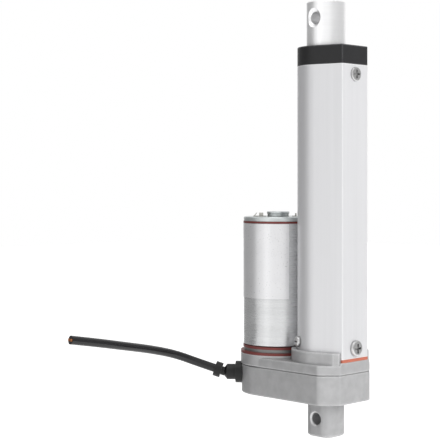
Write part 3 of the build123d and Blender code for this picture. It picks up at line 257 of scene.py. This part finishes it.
def grained(
    name,
    colour,
    metallic,
    roughness,
    grain_size,
    relief,
    stretch=(1, 1, 1),
    colour_spread=0.06,
    gloss_spread=0.08,
    specular=0.5,
    edge_radius=0,
    edge_wear_and_highlight=0,
):
    """A material with a fine grain: relief, slight colour change, uneven gloss, and edges painted
    lighter, partly as wear and partly as a painted highlight.
    """
    made = Shader(name, colour, metallic, roughness, specular)
    if edge_radius:
        made.round_edges(edge_radius)
    grain = made.noise(grain_size, stretch, grain_detail, grain_roughness)
    cloud = made.spread(made.noise(grain_size * cloud_to_grain, stretch, cloud_detail), 0, 1)
    tint = made.colours(cloud, shade(colour, 1 - colour_spread), shade(colour, 1 + colour_spread))
    # Edges painted lighter: partly wear, partly a painted highlight along them
    if edge_wear_and_highlight:
        tint = made.colour_where(made.edge_mask(), tint, shade(colour, 1 + edge_wear_and_highlight))
    made.set_colour(tint)
    made.set_roughness(made.spread(grain, roughness - gloss_spread, roughness + gloss_spread))
    made.bump(grain, relief)
    return made


# Looks, by the slot names of the record
looks = {
    "gearbox_casting": dict(
        colour=(0.47, 0.47, 0.475), metallic=0.35, roughness=0.44,
        grain_size=0.35 * mm, relief=0.014 * mm,
        colour_spread=0.07, edge_radius=1.2 * mm, edge_wear_and_highlight=0.4,
    ),
    "anodised_tube": dict(
        colour=(0.785, 0.785, 0.8), metallic=0.4, roughness=0.38,
        grain_size=0.25 * mm, relief=0.003 * mm, stretch=(1, 1, 60),
        colour_spread=0.02, edge_radius=0.8 * mm, edge_wear_and_highlight=0.27,
    ),
    "polished_rod": dict(
        colour=(0.92, 0.92, 0.925), metallic=0.85, roughness=0.36,
        grain_size=0.2 * mm, relief=0.001 * mm, stretch=(20, 20, 0.5),
        colour_spread=0.02,
    ),
    "black_cap": dict(
        colour=(0.018, 0.018, 0.019), metallic=0.0, roughness=0.4,
        grain_size=0.25 * mm, relief=0.008 * mm,
        specular=0.3, edge_radius=0.8 * mm, edge_wear_and_highlight=6,
    ),
    "bright_can": dict(
        colour=(0.62, 0.625, 0.63), metallic=0.85, roughness=0.3,
        grain_size=0.3 * mm, relief=0.003 * mm, stretch=(30, 30, 0.6),
        colour_spread=0.04, edge_radius=0.4 * mm,
    ),
    "silver_label": dict(
        colour=(0.75, 0.75, 0.76), metallic=0.7, roughness=0.34,
        grain_size=0.6 * mm, relief=0.001 * mm,
        colour_spread=0.02,
    ),
    "red_rubber": dict(
        colour=(0.55, 0.16, 0.1), metallic=0.0, roughness=0.5,
        grain_size=0.4 * mm, relief=0.006 * mm,
    ),
    "dark_red_rubber": dict(
        colour=(0.2, 0.036, 0.03), metallic=0.0, roughness=0.45,
        grain_size=0.4 * mm, relief=0.006 * mm,
    ),
    "black_rubber": dict(
        colour=(0.014, 0.014, 0.014), metallic=0.0, roughness=0.42,
        grain_size=0.35 * mm, relief=0.012 * mm,
        specular=0.28, edge_radius=0.3 * mm, edge_wear_and_highlight=4,
    ),
    "black_cable": dict(
        colour=(0.01, 0.01, 0.011), metallic=0.0, roughness=0.2,
        grain_size=0.5 * mm, relief=0.004 * mm,
        gloss_spread=0.05, specular=0.4,
    ),
    "zinc_screw": dict(
        colour=(0.54, 0.54, 0.54), metallic=1.0, roughness=0.3,
        grain_size=0.2 * mm, relief=0.003 * mm,
        edge_radius=0.2 * mm,
    ),
    "end_cap_zinc": dict(
        colour=(0.56, 0.59, 0.59), metallic=0.9, roughness=0.34,
        grain_size=0.4 * mm, relief=0.004 * mm,
        edge_radius=0.3 * mm,
    ),
    "adapter_steel": dict(
        colour=(0.22, 0.225, 0.22), metallic=0.7, roughness=0.4,
        grain_size=0.3 * mm, relief=0.004 * mm,
    ),
    "tinned_lug": dict(
        colour=(0.55, 0.54, 0.5), metallic=0.9, roughness=0.38,
        grain_size=0.25 * mm, relief=0.004 * mm,
    ),
    "pale_bush": dict(
        colour=(0.7, 0.68, 0.6), metallic=0.0, roughness=0.45,
        grain_size=0.3 * mm, relief=0.004 * mm,
    ),
    "pale_nylon": dict(
        colour=(0.75, 0.73, 0.66), metallic=0.0, roughness=0.4,
        grain_size=0.3 * mm, relief=0.004 * mm,
    ),
    "bearing_steel": dict(
        colour=(0.6, 0.61, 0.63), metallic=1.0, roughness=0.25,
        grain_size=0.2 * mm, relief=0.001 * mm,
    ),
    "screw_steel": dict(
        colour=(0.5, 0.5, 0.51), metallic=1.0, roughness=0.34,
        grain_size=0.2 * mm, relief=0.003 * mm, stretch=(6, 6, 1),
    ),
    "gear_steel": dict(
        colour=(0.42, 0.42, 0.43), metallic=0.9, roughness=0.45,
        grain_size=0.25 * mm, relief=0.006 * mm,
    ),
    "spring_steel": dict(
        colour=(0.3, 0.31, 0.33), metallic=1.0, roughness=0.35,
        grain_size=0.2 * mm, relief=0.002 * mm,
    ),
    "brass_part": dict(
        colour=(0.7, 0.52, 0.22), metallic=1.0, roughness=0.32,
        grain_size=0.25 * mm, relief=0.002 * mm,
    ),
    "bronze_bush": dict(
        colour=(0.5, 0.32, 0.16), metallic=0.9, roughness=0.5,
        grain_size=0.15 * mm, relief=0.008 * mm,
    ),
    "core_steel": dict(
        colour=(0.25, 0.26, 0.27), metallic=0.8, roughness=0.45,
        grain_size=0.5 * mm, relief=0.02 * mm, stretch=(40, 40, 1),
    ),
    "copper_wire": dict(
        colour=(0.6, 0.24, 0.1), metallic=0.9, roughness=0.35,
        grain_size=0.4 * mm, relief=0.03 * mm,
    ),
    "copper_bar": dict(
        colour=(0.7, 0.34, 0.18), metallic=1.0, roughness=0.3,
        grain_size=0.2 * mm, relief=0.002 * mm,
    ),
    "brown_card": dict(
        colour=(0.2, 0.1, 0.04), metallic=0.0, roughness=0.6,
        grain_size=0.4 * mm, relief=0.01 * mm,
    ),
    "carbon": dict(
        colour=(0.03, 0.03, 0.03), metallic=0.0, roughness=0.55,
        grain_size=0.15 * mm, relief=0.006 * mm,
    ),
    "ferrite": dict(
        colour=(0.045, 0.045, 0.05), metallic=0.2, roughness=0.55,
        grain_size=0.3 * mm, relief=0.01 * mm,
    ),
    "lead_wire": dict(
        colour=(0.35, 0.02, 0.015), metallic=0.0, roughness=0.42,
        grain_size=0.4 * mm, relief=0.003 * mm,
    ),
    "green_board": dict(
        colour=(0.02, 0.16, 0.05), metallic=0.0, roughness=0.35,
        grain_size=0.8 * mm, relief=0.002 * mm,
    ),
    "red_button": dict(
        colour=(0.45, 0.02, 0.015), metallic=0.0, roughness=0.3,
        grain_size=0.3 * mm, relief=0.001 * mm,
    ),
}
finishes = {name: grained(name, **look) for name, look in looks.items()}

# The rear mounting hole is machined after casting: its rim is bright metal
rear_hole_place = (0, 0, 0)
rim_inner_r = 3.02 * mm
rim_outer_r = 3.75 * mm
rim_soft = 0.05 * mm
rim_colour = (0.85, 0.85, 0.85)
rim_roughness = 0.25
casting = finishes["gearbox_casting"]
rim = casting.ring_mask(rear_hole_place, rim_inner_r, rim_outer_r, rim_soft)
casting.set_colour(casting.colour_where(rim, casting.feeding("Base Color"), rim_colour))
casting.set_roughness(casting.value_where(rim, casting.feeding("Roughness"), rim_roughness))

# Painted shade: recesses and joints of the metal parts are painted darker, and so is the bore of
# the rod's mounting hole
painted_shade_reaches = {
    "gearbox_casting": 1.2 * mm,
    "zinc_screw": 1.0 * mm,
    "end_cap_zinc": 1.0 * mm,
    "tinned_lug": 1.0 * mm,
    "bright_can": 1.0 * mm,
    "polished_rod": 3.0 * mm,
}
for name, reach in painted_shade_reaches.items():
    finishes[name].paint_shade_in_recesses(reach)

# The rating plate's foil lies a little unevenly on the can
foil_wave_size = 9 * mm
foil_wave_stretch = (1, 1, 2.5)
foil_wave_detail = 1.0
foil_wave_depth = 0.12 * mm
plate = finishes["silver_label"]
plate.bump(plate.noise(foil_wave_size, foil_wave_stretch, foil_wave_detail), foil_wave_depth)

slot_of = {entry["node"]: entry["material_slot"] for entry in frame["record"]["subparts"]}
for name, piece in nodes.items():
    piece.data.materials.clear()
    piece.data.materials.append(finishes[slot_of[name]].material)
cable_curve.materials.append(finishes["black_cable"].material)

# Studio: white surroundings, a large key light on the right and a weak one from above
light_aim = Vector((-0.01, 0, 0.1))


def aimed_light(name, azimuth, elevation, distance, size, power):
    """A square area light aimed at the object, from an azimuth right of the camera."""
    angle = radians(camera_azimuth - 90 + azimuth)
    flat = distance * cos(radians(elevation))
    rise = distance * sin(radians(elevation))
    data = bpy.data.lights.new(name, "AREA")
    data.shape = "SQUARE"
    data.size = size
    data.energy = power
    light = bpy.data.objects.new(name, data)
    light.location = light_aim + Vector((flat * cos(angle), flat * sin(angle), rise))
    light.rotation_euler = (light_aim - light.location).to_track_quat("-Z", "Y").to_euler()
    bpy.context.scene.collection.objects.link(light)
    return light


key = aimed_light("key", azimuth=43, elevation=22, distance=1.4, size=0.9, power=16.5)
key.visible_glossy = False
aimed_light("top", azimuth=-20, elevation=75, distance=1.3, size=0.8, power=3.0)


def rectangle(name, middle, half_across, half_up):
    """A flat mesh around its middle, from the vectors of half its width and half its height."""
    mesh = bpy.data.meshes.new(name)
    corners = [
        middle - half_across - half_up,
        middle + half_across - half_up,
        middle + half_across + half_up,
        middle - half_across + half_up,
    ]
    mesh.from_pydata(corners, [], [(0, 1, 2, 3)])
    return mesh


card_middle_z = 0.1


def reflection_card(name, azimuth, distance, width, height, glow_strength):
    """A glowing card seen in reflections alone, at an azimuth right of the camera."""
    angle = radians(camera_azimuth - 90 + azimuth)
    middle = Vector((distance * cos(angle), distance * sin(angle), card_middle_z))
    half_across = Vector((-sin(angle), cos(angle), 0)) * width / 2
    half_up = Vector((0, 0, height / 2))
    mesh = rectangle(name, middle, half_across, half_up)
    look = bpy.data.materials.new(name)
    look.use_nodes = True
    tree = look.node_tree
    tree.nodes.clear()
    glow = tree.nodes.new("ShaderNodeEmission")
    glow.inputs["Strength"].default_value = glow_strength
    output = tree.nodes.new("ShaderNodeOutputMaterial")
    tree.links.new(glow.outputs["Emission"], output.inputs["Surface"])
    mesh.materials.append(look)
    card = bpy.data.objects.new(name, mesh)
    card.visible_camera = False
    card.visible_diffuse = False
    card.visible_shadow = False
    bpy.context.scene.collection.objects.link(card)


# Metal edges darken in the grey cards at both sides, and the bright strip draws a highlight
reflection_card("left_card", azimuth=-118, distance=1.0, width=1.5, height=1.6, glow_strength=0.4)
reflection_card("right_card", azimuth=76, distance=1.0, width=2.6, height=1.6, glow_strength=0.6)
reflection_card("strip", azimuth=-42, distance=1.2, width=0.4, height=1.8, glow_strength=1.5)


def any_ray(tree, kinds):
    """Adds nodes that give 1 to a ray of any of the kinds, and 0 to the others."""
    paths = tree.nodes.new("ShaderNodeLightPath")
    found = paths.outputs[kinds[0]]
    for kind in kinds[1:]:
        either = tree.nodes.new("ShaderNodeMath")
        either.operation = "MAXIMUM"
        tree.links.new(found, either.inputs[0])
        tree.links.new(paths.outputs[kind], either.inputs[1])
        found = either.outputs[0]
    return found


# The surroundings look white, and light the object more weakly than that
white = (1, 1, 1, 1)
seen_strength = 1.0
lighting_strength = 0.33
world = bpy.data.worlds.new("world")
world.use_nodes = True
bpy.context.scene.world = world
world_tree = world.node_tree
background = world_tree.nodes["Background"]
background.inputs["Color"].default_value = white
world_seen = any_ray(world_tree, ("Is Camera Ray", "Is Glossy Ray", "Is Transmission Ray"))
world_strength = world_tree.nodes.new("ShaderNodeMapRange")
world_strength.inputs["To Min"].default_value = lighting_strength
world_strength.inputs["To Max"].default_value = seen_strength
world_tree.links.new(world_seen, world_strength.inputs["Value"])
world_tree.links.new(world_strength.outputs["Result"], background.inputs["Strength"])

# Floor, well below the actuator, that glows towards the camera and in reflections
floor_z = -0.3
floor_size = 12.0
floor_colour = (0.8, 0.8, 0.8)
floor_roughness = 0.8
floor_glow = 0.88
half_floor = floor_size / 2
floor_mesh = rectangle(
    "floor", Vector((0, 0, floor_z)), Vector((half_floor, 0, 0)), Vector((0, half_floor, 0))
)
floor = bpy.data.objects.new("floor", floor_mesh)
bpy.context.scene.collection.objects.link(floor)
floor_look = Shader("floor", floor_colour, metallic=0.0, roughness=floor_roughness)
floor_seen = any_ray(floor_look.tree, ("Is Camera Ray", "Is Glossy Ray"))
floor_strength = floor_look.spread(floor_seen, 0.0, floor_glow, 0.0, 1.0)
floor_look.surface.inputs["Emission Color"].default_value = white
floor_look.link(floor_strength, floor_look.surface.inputs["Emission Strength"])
floor_mesh.materials.append(floor_look.material)

bpy.context.view_layer.update()
